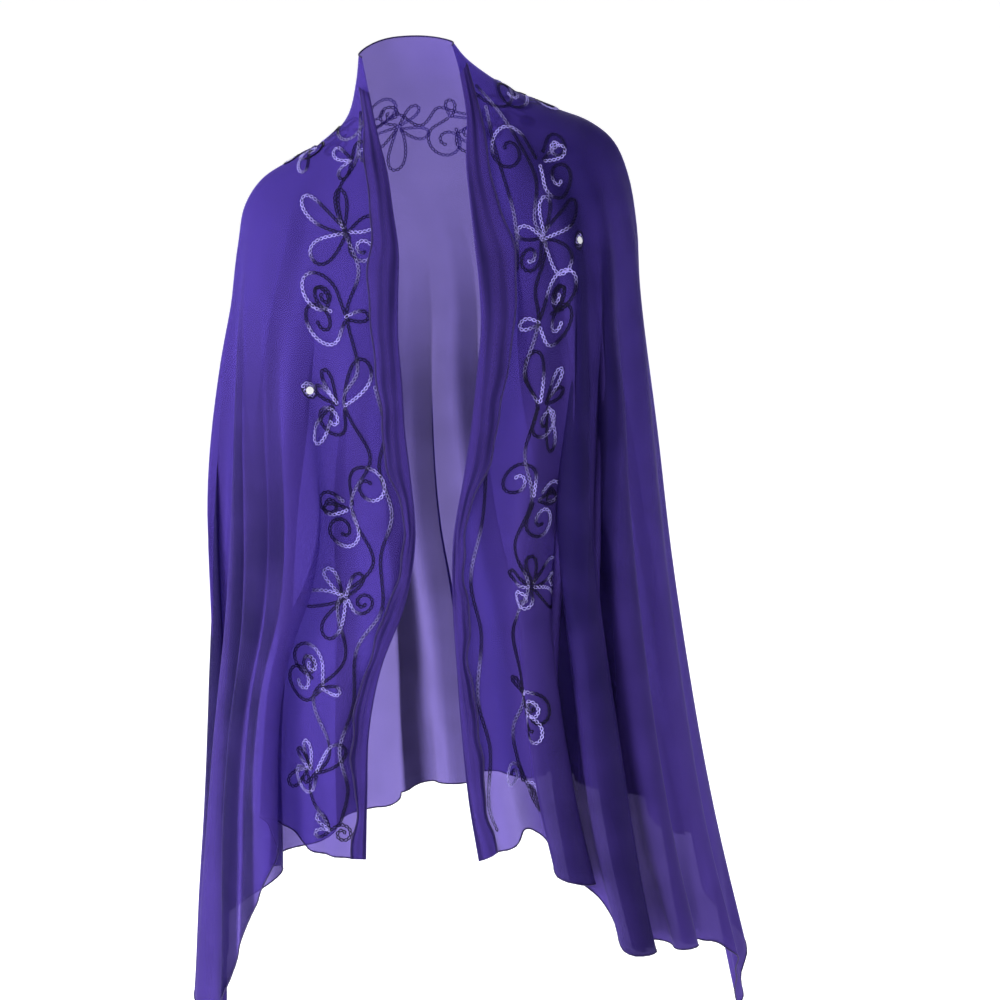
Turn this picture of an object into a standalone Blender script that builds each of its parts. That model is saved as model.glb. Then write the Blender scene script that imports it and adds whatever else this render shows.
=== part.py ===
"""A sheer rectangular wrap, worn round the neck and over the shoulders and hanging open in front.

Metres, +Z up, the front faces -Y and +X is the wearer's left. The origin is the point midway
between the shoulders, level with the foot of the neck, where the cloth is carried.
"""

import math

import bmesh
import bpy
import numpy as np

# Cloth
WALL = 0.0014  # thickness that stands for the chiffon
SEAM = 0.0004  # space between two stretches where they meet
ROUNDNESS = 2.3  # exponent of the plan curve: 2 is an ellipse, more is boxier
ARC_SAMPLES = 721  # points used to measure along one plan curve
TANGENT_STEP = 0.002  # half the length over which a plan curve's direction is taken
WIDEST_GAP = 0.999  # most of a section's reach at which a front edge may stand

# Sections from the top of the neck down to the hem.
# fall: share of the way down; right/left: how far the wearer's right and left side reach out
# from the centre line and their height; front/back: the same towards the front and the back;
# gap_right/gap_left: where the two open front edges stand, measured along X.
SECTIONS = (
    # fall, right, right_z, left, left_z, front, front_z, back, back_z, gap_right, gap_left
    (0.000, 0.0490, 0.0800, 0.0500, 0.0860, 0.0400, 0.0640, 0.0580, 0.0920, -0.0470, 0.0480),
    (0.030, 0.0540, 0.0520, 0.0630, 0.0680, 0.0500, 0.0300, 0.0620, 0.0580, -0.0430, 0.0530),
    (0.060, 0.0640, 0.0200, 0.0860, 0.0480, 0.0640, -0.0020, 0.0700, 0.0260, -0.0390, 0.0560),
    (0.100, 0.0900, -0.0060, 0.1180, 0.0270, 0.0800, -0.0380, 0.0840, -0.0080, -0.0330, 0.0510),
    (0.140, 0.1260, -0.0230, 0.1540, 0.0090, 0.0950, -0.0760, 0.0990, -0.0450, -0.0310, 0.0510),
    (0.185, 0.1600, -0.0410, 0.1880, -0.0070, 0.1070, -0.1150, 0.1110, -0.0850, -0.0290, 0.0520),
    (0.230, 0.1810, -0.0680, 0.2130, -0.0310, 0.1180, -0.1550, 0.1200, -0.1250, -0.0330, 0.0530),
    (0.275, 0.1900, -0.1010, 0.2260, -0.0700, 0.1270, -0.2000, 0.1270, -0.1700, -0.0370, 0.0510),
    (0.320, 0.1980, -0.1430, 0.2310, -0.1170, 0.1340, -0.2450, 0.1320, -0.2150, -0.0370, 0.0430),
    (0.380, 0.2080, -0.2020, 0.2320, -0.1810, 0.1390, -0.2920, 0.1350, -0.2680, -0.0380, 0.0340),
    (0.450, 0.2190, -0.2740, 0.2350, -0.2570, 0.1430, -0.3440, 0.1380, -0.3300, -0.0360, 0.0220),
    (0.535, 0.2310, -0.3600, 0.2400, -0.3480, 0.1470, -0.4080, 0.1420, -0.4050, -0.0360, 0.0060),
    (0.630, 0.2440, -0.4560, 0.2460, -0.4480, 0.1510, -0.4780, 0.1470, -0.4880, -0.0520, 0.0000),
    (0.725, 0.2610, -0.5530, 0.2560, -0.5500, 0.1550, -0.5470, 0.1530, -0.5740, -0.0820, -0.0010),
    (0.820, 0.2780, -0.6520, 0.2690, -0.6530, 0.1580, -0.6160, 0.1600, -0.6620, -0.1000, -0.0010),
    (0.910, 0.2940, -0.7480, 0.2850, -0.7520, 0.1600, -0.6820, 0.1670, -0.7500, -0.1070, 0.0010),
    (1.000, 0.3080, -0.8460, 0.3020, -0.8540, 0.1620, -0.7480, 0.1740, -0.8400, -0.1140, 0.0070),
)

# The hem, going round from the right front edge by the back to the left front edge.
# round: share of the way round; height: where the hem hangs.
HEM = (
    # round, height
    (0.000, -0.745),
    (0.040, -0.733),
    (0.068, -0.708),
    (0.095, -0.706),
    (0.106, -0.730),
    (0.118, -0.778),
    (0.134, -0.842),
    (0.150, -0.912),
    (0.166, -0.975),
    (0.182, -1.000),
    (0.200, -0.985),
    (0.220, -0.955),
    (0.246, -0.920),
    (0.280, -0.885),
    (0.340, -0.835),
    (0.400, -0.800),
    (0.460, -0.778),
    (0.540, -0.780),
    (0.600, -0.802),
    (0.650, -0.845),
    (0.690, -0.900),
    (0.722, -0.955),
    (0.748, -1.005),
    (0.768, -0.965),
    (0.790, -0.918),
    (0.828, -0.893),
    (0.873, -0.876),
    (0.900, -0.862),
    (0.914, -0.815),
    (0.945, -0.772),
    (0.957, -0.736),
    (0.978, -0.745),
    (1.000, -0.756),
)
HEM_STARTS = 0.40  # share of the fall below which the hem's own height is let in
HEM_GROWTH = 1.1  # exponent of that growth

# Ridges and valleys of the folds where they reach the hem.
# round: share of the way round; out: how far the cloth stands off its plan curve there, in mm;
# along: how far that ridge or valley is moved on round the curve, in mm;
# tuck: how far the cloth doubles back between this one and the next, in mm;
# start: share of the fall at which the fold begins.
FOLDS = (
    # round, out, along, tuck, start
    (0.000, 0.0, 0.0, 0.0, 0.30),
    (0.022, -5.0, 0.0, 0.0, 0.40),
    (0.047, 4.0, 0.0, 0.0, 0.45),
    (0.068, 14.0, 0.0, 0.0, 0.20),
    (0.080, 6.0, 2.0, 0.0, 0.20),
    (0.095, -8.0, -38.0, 0.0, 0.20),
    (0.106, -18.0, -58.0, 0.0, 0.20),
    (0.118, -27.0, -60.0, 0.0, 0.20),
    (0.134, -16.0, -50.0, 0.0, 0.20),
    (0.150, -19.0, -41.0, 0.0, 0.20),
    (0.166, -6.0, -28.0, 0.0, 0.20),
    (0.182, -15.0, -14.0, 3.0, 0.22),
    (0.198, 13.0, -5.0, 4.0, 0.24),
    (0.220, -14.0, 0.0, 3.0, 0.28),
    (0.246, 15.0, 0.0, 3.0, 0.26),
    (0.274, -14.0, 0.0, 2.0, 0.30),
    (0.303, 12.0, 0.0, 2.0, 0.34),
    (0.330, -18.0, 0.0, 4.0, 0.26),
    (0.358, 16.0, 0.0, 3.0, 0.24),
    (0.384, -13.0, 0.0, 2.0, 0.32),
    (0.412, 14.0, 0.0, 3.0, 0.28),
    (0.441, -19.0, 0.0, 5.0, 0.22),
    (0.468, 17.0, 0.0, 4.0, 0.22),
    (0.495, -14.0, 0.0, 2.0, 0.30),
    (0.524, 13.0, 0.0, 3.0, 0.30),
    (0.552, -17.0, 0.0, 4.0, 0.25),
    (0.580, 15.0, 0.0, 3.0, 0.25),
    (0.608, -13.0, 0.0, 2.0, 0.33),
    (0.636, 14.0, 0.0, 3.0, 0.28),
    (0.663, -16.0, 0.0, 3.0, 0.26),
    (0.690, 14.0, 0.0, 2.0, 0.28),
    (0.720, -8.0, 0.0, 0.0, 0.34),
    (0.752, 9.0, 0.0, 0.0, 0.34),
    (0.785, -3.0, 0.0, 0.0, 0.40),
    (0.828, 16.0, 0.0, 7.0, 0.16),
    (0.852, -25.0, 0.0, 6.0, 0.13),
    (0.873, 9.0, 0.0, 5.0, 0.14),
    (0.893, -24.0, 0.0, 7.0, 0.13),
    (0.914, 16.0, 0.0, 5.0, 0.16),
    (0.938, -13.0, 0.0, 6.0, 0.20),
    (0.957, 12.0, 0.0, 2.0, 0.24),
    (0.980, -3.0, 0.0, 0.0, 0.30),
    (1.000, 0.0, 0.0, 0.0, 0.30),
)
FOLD_UNITS = (1, 1000, 1000, 1000, 1)  # what each column of the table is divided by
FOLD_GROWTH = 0.85  # exponent of the folds' growth from where they begin down to the hem

# Mesh
ROWS_OF_WALL = (
    0.000, 0.030, 0.060, 0.100, 0.140, 0.180, 0.220, 0.260, 0.305, 0.355, 0.410,
    0.470, 0.530, 0.590, 0.650, 0.710, 0.770, 0.830, 0.890, 0.945, 1.000,
)
NECK_ROW = 4  # row at which the neck stretch ends
CELL = 0.0082  # share of the way round that one column of the wall takes
CELLS_PER_TUCK = 0.15  # columns added for each millimetre that the cloth doubles back
LEAST_CELL = 0.0033  # no column stands nearer than this to the end of a stretch

# Stretches of the cloth below the neck row: name, first and last share of the way round
STRETCHES = (
    ("right_front_stretch", 0.000, 0.134),
    ("right_tail_stretch", 0.134, 0.246),
    ("back_stretch", 0.246, 0.663),
    ("left_tail_stretch", 0.663, 0.828),
    ("left_front_stretch", 0.828, 1.000),
)

# Turned-back doubled bands on the two front edges: how wide they are at a share of the fall
BAND_WIDTHS = (
    # fall, right band, left band
    (0.030, 0.010, 0.012),
    (0.100, 0.022, 0.024),
    (0.230, 0.027, 0.038),
    (0.385, 0.022, 0.026),
    (0.520, 0.011, 0.012),
    (1.000, 0.009, 0.010),
)
BAND_ROWS = (1, 20)  # first and last row that the bands cover
BAND_COLUMNS = 3
BAND_REST = 0.0004  # space between the band and the cloth below it
BAND_LIFT = 0.0016  # how much further the middle of the band stands off


def column(table, number):
    return np.array([row[number] for row in table], dtype=float)


def through(knots, values, at):
    """Smooth curve through the values at the knots, with the slope at each from its neighbours."""
    slopes = np.gradient(values, knots)
    at = np.clip(np.asarray(at, dtype=float), knots[0], knots[-1])
    first = np.clip(np.searchsorted(knots, at, side="right") - 1, 0, len(knots) - 2)
    width = knots[first + 1] - knots[first]
    u = (at - knots[first]) / width
    return (
        (2 * u**3 - 3 * u**2 + 1) * values[first]
        + (u**3 - 2 * u**2 + u) * width * slopes[first]
        + (3 * u**2 - 2 * u**3) * values[first + 1]
        + (u**3 - u**2) * width * slopes[first + 1]
    )


def eased(x):
    x = np.clip(x, 0.0, 1.0)
    return x * x * (3 - 2 * x)


def section(fall):
    """The named numbers of the section at this share of the fall."""
    names = (
        "right", "right_z", "left", "left_z", "front", "front_z",
        "back", "back_z", "gap_right", "gap_left",
    )
    falls = column(SECTIONS, 0)
    return {name: float(through(falls, column(SECTIONS, n + 1), fall)) for n, name in enumerate(names)}


def plan_curve(s, turn):
    """Points at these turns round the neck, from the front (0) by the wearer's right to the back (pi)."""
    side, ahead = np.sin(turn), np.cos(turn)
    bent_side = np.sign(side) * np.abs(side) ** (2 / ROUNDNESS)
    bent_ahead = np.sign(ahead) * np.abs(ahead) ** (2 / ROUNDNESS)
    x = np.where(side > 0, -s["right"], -s["left"]) * bent_side
    y = -np.where(ahead > 0, s["front"], s["back"]) * bent_ahead
    side_z = np.where(side > 0, s["right_z"], s["left_z"])
    end_z = np.where(ahead > 0, s["front_z"], s["back_z"])
    z = side_z + (end_z - side_z) * ahead**2
    return np.stack([x, y, z], axis=-1)


def turn_at(reach, x):
    """The turn at which the plan curve stands this far out along X, near the front."""
    return math.asin(min(abs(x) / reach, WIDEST_GAP) ** (ROUNDNESS / 2))


def fold_offsets(round_, fall):
    """How far the folds move the cloth out and along, at each share of the way round."""
    knots, out, along, tuck, start = (column(FOLDS, n) / unit for n, unit in enumerate(FOLD_UNITS))
    first = np.clip(np.searchsorted(knots, round_, side="right") - 1, 0, len(knots) - 2)
    u = (round_ - knots[first]) / (knots[first + 1] - knots[first])
    growth = np.clip((fall - start) / (1 - start), 0.0, 1.0) ** FOLD_GROWTH
    away = through(knots, out * growth, round_)
    shift = through(knots, along * growth, round_)
    return away, shift + tuck[first] * growth[first] ** 2 * np.sin(2 * np.pi * u)


def plan_line(fall):
    """A finely drawn plan curve from one front edge to the other, and the way along it."""
    s = section(fall)
    begin = turn_at(s["right"], s["gap_right"])
    end = 2 * math.pi - math.copysign(turn_at(s["left"], s["gap_left"]), s["gap_left"])
    line = plan_curve(s, np.linspace(begin, end, ARC_SAMPLES))
    steps = np.linalg.norm(np.diff(line, axis=0), axis=1)
    return line, np.concatenate([[0.0], np.cumsum(steps)])


def along_line(line, along, at):
    return np.stack([np.interp(at, along, line[:, axis]) for axis in range(3)], axis=-1)


LAST_LINE, LAST_ALONG = plan_line(1.0)


def hem_drop(round_):
    """How far the hem hangs below the last section at these shares of the way round."""
    at = round_ * LAST_ALONG[-1] + fold_offsets(round_, 1.0)[1]
    level = np.interp(at, LAST_ALONG, LAST_LINE[:, 2])
    return level - through(column(HEM, 0), column(HEM, 1), round_)


def ring(fall, round_):
    """Points of the cloth at one share of the fall, at these shares of the way round."""
    line, along = plan_line(fall)
    away, shift = fold_offsets(round_, fall)
    at = np.clip(round_ * along[-1] + shift, 0, along[-1])
    points = along_line(line, along, at)
    tangent = along_line(line, along, at + TANGENT_STEP) - along_line(line, along, at - TANGENT_STEP)
    outward = np.stack([tangent[:, 1], -tangent[:, 0], np.zeros(len(tangent))], axis=-1)
    outward /= np.linalg.norm(outward, axis=1)[:, None]
    points += outward * away[:, None]
    points[:, 2] -= hem_drop(round_) * eased((fall - HEM_STARTS) / (1 - HEM_STARTS)) ** HEM_GROWTH
    return points, along[-1]


def grid_normals(grid):
    """Outward unit normals of a grid of points, rows down the cloth and columns round it."""
    down = np.gradient(grid, axis=0)
    across = np.gradient(grid, axis=1)
    normals = np.cross(across, down)
    return normals / np.linalg.norm(normals, axis=2)[:, :, None]


def drawn_in(grid, top, bottom, first, last):
    """The grid with the chosen edges moved in by half a seam."""
    grid = grid.copy()
    edges = (
        (first, (slice(None), 0), (slice(None), 1)),
        (last, (slice(None), -1), (slice(None), -2)),
        (top, (0,), (1,)),
        (bottom, (-1,), (-2,)),
    )
    for wanted, edge, inside in edges:
        if wanted:
            way = grid[inside] - grid[edge]
            way /= np.linalg.norm(way, axis=-1)[..., None]
            grid[edge] = grid[edge] + way * SEAM / 2
    return grid


def cloth_material(name, colour, roughness):
    material = bpy.data.materials.new(name)
    material.use_nodes = True
    shader = material.node_tree.nodes["Principled BSDF"]
    shader.inputs["Base Color"].default_value = (*colour, 1.0)
    shader.inputs["Roughness"].default_value = roughness
    shader.inputs["Metallic"].default_value = 0.0
    material.diffuse_color = (*colour, 1.0)
    return material


def wall(name, grid, normals, material):
    """A closed wall of cloth, half its thickness to each side of the grid."""
    rows, columns = grid.shape[:2]
    mesh = bpy.data.meshes.new(name)
    body = bmesh.new()
    layers = []
    for side in (0.5, -0.5):
        layer = grid + normals * WALL * side
        layers.append([[body.verts.new(layer[r, c]) for c in range(columns)] for r in range(rows)])
    outer, inner = layers
    for r in range(rows - 1):
        for c in range(columns - 1):
            body.faces.new((outer[r][c], outer[r + 1][c], outer[r + 1][c + 1], outer[r][c + 1]))
            body.faces.new((inner[r][c], inner[r][c + 1], inner[r + 1][c + 1], inner[r + 1][c]))
    rim = [(0, c) for c in range(columns)]
    rim += [(r, columns - 1) for r in range(1, rows)]
    rim += [(rows - 1, c) for c in range(columns - 2, -1, -1)]
    rim += [(r, 0) for r in range(rows - 2, 0, -1)]
    for (r0, c0), (r1, c1) in zip(rim, rim[1:] + rim[:1]):
        body.faces.new((outer[r0][c0], outer[r1][c1], inner[r1][c1], inner[r0][c0]))
    bmesh.ops.recalc_face_normals(body, faces=body.faces)
    body.to_mesh(mesh)
    body.free()
    mesh.shade_smooth()
    mesh.materials.append(material)
    item = bpy.data.objects.new(name, mesh)
    bpy.context.scene.collection.objects.link(item)
    return item


def shares_round(first, last):
    """Columns from first to last, one on every ridge and valley of the folds."""
    inside = [row[0] for row in FOLDS if first + LEAST_CELL < row[0] < last - LEAST_CELL]
    stops = [first] + inside + [last]
    tucks = np.interp(stops, column(FOLDS, 0), column(FOLDS, 3))
    shares = [first]
    for a, b, tuck in zip(stops, stops[1:], tucks):
        count = max(1, round((b - a) / CELL + tuck * CELLS_PER_TUCK))
        shares += [a + (b - a) * (n + 1) / count for n in range(count)]
    return np.array(shares)


for item in list(bpy.data.objects):
    bpy.data.objects.remove(item, do_unlink=True)

chiffon = cloth_material("purple_chiffon", (0.115, 0.068, 0.330), 0.62)
doubled = cloth_material("doubled_chiffon", (0.045, 0.022, 0.185), 0.58)

edges_round = [STRETCHES[0][1]] + [row[2] for row in STRETCHES]
all_shares = np.concatenate(
    [shares_round(a, b)[:-1] for a, b in zip(edges_round, edges_round[1:])] + [[1.0]]
)
cloth = np.stack([ring(fall, all_shares)[0] for fall in ROWS_OF_WALL])
cloth_normals = grid_normals(cloth)

neck = drawn_in(cloth[: NECK_ROW + 1], False, True, False, False)
wall("neck_stretch", neck, cloth_normals[: NECK_ROW + 1], chiffon)

for stretch, start, stop in STRETCHES:
    a = int(np.argmin(np.abs(all_shares - start)))
    b = int(np.argmin(np.abs(all_shares - stop)))
    piece = drawn_in(cloth[NECK_ROW:, a : b + 1], True, False, start > 0, stop < 1)
    wall(stretch, piece, cloth_normals[NECK_ROW:, a : b + 1], chiffon)

for side, near in (("right", 0.0), ("left", 1.0)):
    points = []
    widths = column(BAND_WIDTHS, 1 if side == "right" else 2)
    for number in range(BAND_ROWS[0], BAND_ROWS[1] + 1):
        fall = ROWS_OF_WALL[number]
        width = float(through(column(BAND_WIDTHS, 0), widths, fall))
        length = ring(fall, np.array([0.0, 1.0]))[1]
        shares = np.sort(np.abs(near - np.linspace(0.0, width / length, BAND_COLUMNS + 1)))
        row = cloth[number]
        points.append(
            np.stack([np.interp(shares, all_shares, row[:, axis]) for axis in range(3)], axis=-1)
        )
    band = np.stack(points)
    outs = grid_normals(band)
    bulge = np.sin(np.linspace(0, math.pi, BAND_COLUMNS + 1)) * BAND_LIFT
    lift = WALL + BAND_REST + bulge
    wall(side + "_turned_edge", band + outs * lift[None, :, None], outs, doubled)
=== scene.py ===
# A sheer purple wrap with a chain-stitched border, worn round the neck and open in front.
# Metres, +Z up, the front faces -Y and +X is the wearer's left.
import math

import bmesh
import bpy
import numpy as np
from mathutils import Matrix, Vector


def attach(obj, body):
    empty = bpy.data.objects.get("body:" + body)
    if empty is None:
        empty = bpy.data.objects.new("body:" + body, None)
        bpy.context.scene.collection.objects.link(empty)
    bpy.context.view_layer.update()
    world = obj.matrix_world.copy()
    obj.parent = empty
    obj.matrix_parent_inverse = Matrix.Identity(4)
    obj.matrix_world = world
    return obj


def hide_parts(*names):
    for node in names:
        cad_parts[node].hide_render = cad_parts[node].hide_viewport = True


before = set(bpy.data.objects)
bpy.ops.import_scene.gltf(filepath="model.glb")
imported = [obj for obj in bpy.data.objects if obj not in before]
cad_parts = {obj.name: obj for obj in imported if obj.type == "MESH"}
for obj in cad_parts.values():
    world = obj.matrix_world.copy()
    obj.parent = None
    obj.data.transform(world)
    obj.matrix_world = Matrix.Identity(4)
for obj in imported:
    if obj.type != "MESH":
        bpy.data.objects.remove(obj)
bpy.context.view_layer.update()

scene = bpy.context.scene


# The shape of the hanging cloth: the same sections, hem and folds as the model's own.
shape = {
    "roundness": 2.3,  # exponent of the plan curve: 2 is an ellipse
    "lineSamples": 721,  # points that measure along one plan curve
    "tangentStep": 0.002,
    "widestGap": 0.999,
    "hemStarts": 0.40,
    "hemGrowth": 1.1,
    "foldGrowth": 0.85,
    "foldUnits": (1, 1000, 1000, 1000, 1),
}

sectionNames = (
    "right", "rightZ", "left", "leftZ", "front", "frontZ", "back", "backZ", "gapRight", "gapLeft",
)
sections = np.array((
    # fall, right, rightZ, left, leftZ, front, frontZ, back, backZ, gapRight, gapLeft
    (0.000, 0.0490, 0.0800, 0.0500, 0.0860, 0.0400, 0.0640, 0.0580, 0.0920, -0.0470, 0.0480),
    (0.030, 0.0540, 0.0520, 0.0630, 0.0680, 0.0500, 0.0300, 0.0620, 0.0580, -0.0430, 0.0530),
    (0.060, 0.0640, 0.0200, 0.0860, 0.0480, 0.0640, -0.0020, 0.0700, 0.0260, -0.0390, 0.0560),
    (0.100, 0.0900, -0.0060, 0.1180, 0.0270, 0.0800, -0.0380, 0.0840, -0.0080, -0.0330, 0.0510),
    (0.140, 0.1260, -0.0230, 0.1540, 0.0090, 0.0950, -0.0760, 0.0990, -0.0450, -0.0310, 0.0510),
    (0.185, 0.1600, -0.0410, 0.1880, -0.0070, 0.1070, -0.1150, 0.1110, -0.0850, -0.0290, 0.0520),
    (0.230, 0.1810, -0.0680, 0.2130, -0.0310, 0.1180, -0.1550, 0.1200, -0.1250, -0.0330, 0.0530),
    (0.275, 0.1900, -0.1010, 0.2260, -0.0700, 0.1270, -0.2000, 0.1270, -0.1700, -0.0370, 0.0510),
    (0.320, 0.1980, -0.1430, 0.2310, -0.1170, 0.1340, -0.2450, 0.1320, -0.2150, -0.0370, 0.0430),
    (0.380, 0.2080, -0.2020, 0.2320, -0.1810, 0.1390, -0.2920, 0.1350, -0.2680, -0.0380, 0.0340),
    (0.450, 0.2190, -0.2740, 0.2350, -0.2570, 0.1430, -0.3440, 0.1380, -0.3300, -0.0360, 0.0220),
    (0.535, 0.2310, -0.3600, 0.2400, -0.3480, 0.1470, -0.4080, 0.1420, -0.4050, -0.0360, 0.0060),
    (0.630, 0.2440, -0.4560, 0.2460, -0.4480, 0.1510, -0.4780, 0.1470, -0.4880, -0.0520, 0.0000),
    (0.725, 0.2610, -0.5530, 0.2560, -0.5500, 0.1550, -0.5470, 0.1530, -0.5740, -0.0820, -0.0010),
    (0.820, 0.2780, -0.6520, 0.2690, -0.6530, 0.1580, -0.6160, 0.1600, -0.6620, -0.1000, -0.0010),
    (0.910, 0.2940, -0.7480, 0.2850, -0.7520, 0.1600, -0.6820, 0.1670, -0.7500, -0.1070, 0.0010),
    (1.000, 0.3080, -0.8460, 0.3020, -0.8540, 0.1620, -0.7480, 0.1740, -0.8400, -0.1140, 0.0070),
))

# Where the hem hangs, from the right front edge round by the back to the left one.
hemLine = np.array((
    # round, height
    (0.000, -0.745), (0.040, -0.733), (0.068, -0.708), (0.095, -0.706), (0.106, -0.730),
    (0.118, -0.778), (0.134, -0.842), (0.150, -0.912), (0.166, -0.975), (0.182, -1.000),
    (0.200, -0.985), (0.220, -0.955), (0.246, -0.920), (0.280, -0.885), (0.340, -0.835),
    (0.400, -0.800), (0.460, -0.778), (0.540, -0.780), (0.600, -0.802), (0.650, -0.845),
    (0.690, -0.900), (0.722, -0.955), (0.748, -1.005), (0.768, -0.965), (0.790, -0.918),
    (0.828, -0.893), (0.873, -0.876), (0.900, -0.862), (0.914, -0.815), (0.945, -0.772),
    (0.957, -0.736), (0.978, -0.745), (1.000, -0.756),
))

# Ridges and valleys where they reach the hem, in mm, and the share of the fall where each begins.
folds = np.array((
    # round, out, along, tuck, start
    (0.000, 0, 0, 0, 0.30), (0.022, -5, 0, 0, 0.40), (0.047, 4, 0, 0, 0.45), (0.068, 14, 0, 0, 0.20),
    (0.080, 6, 2, 0, 0.20), (0.095, -8, -38, 0, 0.20), (0.106, -18, -58, 0, 0.20),
    (0.118, -27, -60, 0, 0.20), (0.134, -16, -50, 0, 0.20), (0.150, -19, -41, 0, 0.20),
    (0.166, -6, -28, 0, 0.20), (0.182, -15, -14, 3, 0.22), (0.198, 13, -5, 4, 0.24),
    (0.220, -14, 0, 3, 0.28), (0.246, 15, 0, 3, 0.26), (0.274, -14, 0, 2, 0.30),
    (0.303, 12, 0, 2, 0.34), (0.330, -18, 0, 4, 0.26), (0.358, 16, 0, 3, 0.24),
    (0.384, -13, 0, 2, 0.32), (0.412, 14, 0, 3, 0.28), (0.441, -19, 0, 5, 0.22),
    (0.468, 17, 0, 4, 0.22), (0.495, -14, 0, 2, 0.30), (0.524, 13, 0, 3, 0.30),
    (0.552, -17, 0, 4, 0.25), (0.580, 15, 0, 3, 0.25), (0.608, -13, 0, 2, 0.33),
    (0.636, 14, 0, 3, 0.28), (0.663, -16, 0, 3, 0.26), (0.690, 14, 0, 2, 0.28),
    (0.720, -8, 0, 0, 0.34), (0.752, 9, 0, 0, 0.34), (0.785, -3, 0, 0, 0.40),
    (0.828, 16, 0, 7, 0.16), (0.852, -25, 0, 6, 0.13), (0.873, 9, 0, 5, 0.14),
    (0.893, -24, 0, 7, 0.13), (0.914, 16, 0, 5, 0.16), (0.938, -13, 0, 6, 0.20),
    (0.957, 12, 0, 2, 0.24), (0.980, -3, 0, 0, 0.30), (1.000, 0, 0, 0, 0.30),
))


def through(knots, values, at):
    # smooth curve through the values, with the slope at each knot from its neighbours
    slopes = np.gradient(values, knots)
    at = np.clip(np.asarray(at, dtype=float), knots[0], knots[-1])
    first = np.clip(np.searchsorted(knots, at, side="right") - 1, 0, len(knots) - 2)
    width = knots[first + 1] - knots[first]
    u = (at - knots[first]) / width
    return (
        (2 * u**3 - 3 * u**2 + 1) * values[first]
        + (u**3 - 2 * u**2 + u) * width * slopes[first]
        + (3 * u**2 - 2 * u**3) * values[first + 1]
        + (u**3 - u**2) * width * slopes[first + 1]
    )


def eased(x):
    x = np.clip(x, 0.0, 1.0)
    return x * x * (3 - 2 * x)


def sectionAt(fall):
    return {
        name: float(through(sections[:, 0], sections[:, n + 1], fall))
        for n, name in enumerate(sectionNames)
    }


def planCurve(s, turn):
    side, ahead = np.sin(turn), np.cos(turn)
    bentSide = np.sign(side) * np.abs(side) ** (2 / shape["roundness"])
    bentAhead = np.sign(ahead) * np.abs(ahead) ** (2 / shape["roundness"])
    x = np.where(side > 0, -s["right"], -s["left"]) * bentSide
    y = -np.where(ahead > 0, s["front"], s["back"]) * bentAhead
    sideZ = np.where(side > 0, s["rightZ"], s["leftZ"])
    endZ = np.where(ahead > 0, s["frontZ"], s["backZ"])
    return np.stack([x, y, sideZ + (endZ - sideZ) * ahead**2], axis=-1)


def turnAt(reach, x):
    return math.asin(min(abs(x) / reach, shape["widestGap"]) ** (shape["roundness"] / 2))


def foldOffsets(share, fall):
    knots, out, along, tuck, start = (folds[:, n] / unit for n, unit in enumerate(shape["foldUnits"]))
    first = np.clip(np.searchsorted(knots, share, side="right") - 1, 0, len(knots) - 2)
    u = (share - knots[first]) / (knots[first + 1] - knots[first])
    growth = np.clip((fall - start) / (1 - start), 0.0, 1.0) ** shape["foldGrowth"]
    away = through(knots, out * growth, share)
    shift = through(knots, along * growth, share)
    return away, shift + tuck[first] * growth[first] ** 2 * np.sin(2 * np.pi * u)


def planLine(fall):
    s = sectionAt(fall)
    begin = turnAt(s["right"], s["gapRight"])
    end = 2 * math.pi - math.copysign(turnAt(s["left"], s["gapLeft"]), s["gapLeft"])
    line = planCurve(s, np.linspace(begin, end, shape["lineSamples"]))
    steps = np.linalg.norm(np.diff(line, axis=0), axis=1)
    return line, np.concatenate([[0.0], np.cumsum(steps)])


def alongLine(line, along, at):
    return np.stack([np.interp(at, along, line[:, axis]) for axis in range(3)], axis=-1)


lastLine, lastAlong = planLine(1.0)


def hemDrop(share):
    at = share * lastAlong[-1] + foldOffsets(share, 1.0)[1]
    level = np.interp(at, lastAlong, lastLine[:, 2])
    return level - through(hemLine[:, 0], hemLine[:, 1], share)


def ring(fall, share):
    line, along = planLine(fall)
    away, shift = foldOffsets(share, fall)
    at = np.clip(share * along[-1] + shift, 0, along[-1])
    points = alongLine(line, along, at)
    step = shape["tangentStep"]
    tangent = alongLine(line, along, at + step) - alongLine(line, along, at - step)
    outward = np.stack([tangent[:, 1], -tangent[:, 0], np.zeros(len(tangent))], axis=-1)
    outward /= np.linalg.norm(outward, axis=1)[:, None]
    points += outward * away[:, None]
    grown = eased((fall - shape["hemStarts"]) / (1 - shape["hemStarts"])) ** shape["hemGrowth"]
    points[:, 2] -= hemDrop(share) * grown
    return points, along[-1]


def gridNormals(grid):
    down = np.gradient(grid, axis=0)
    across = np.gradient(grid, axis=1)
    normals = np.cross(across, down)
    return normals / np.linalg.norm(normals, axis=2)[:, :, None]


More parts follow.
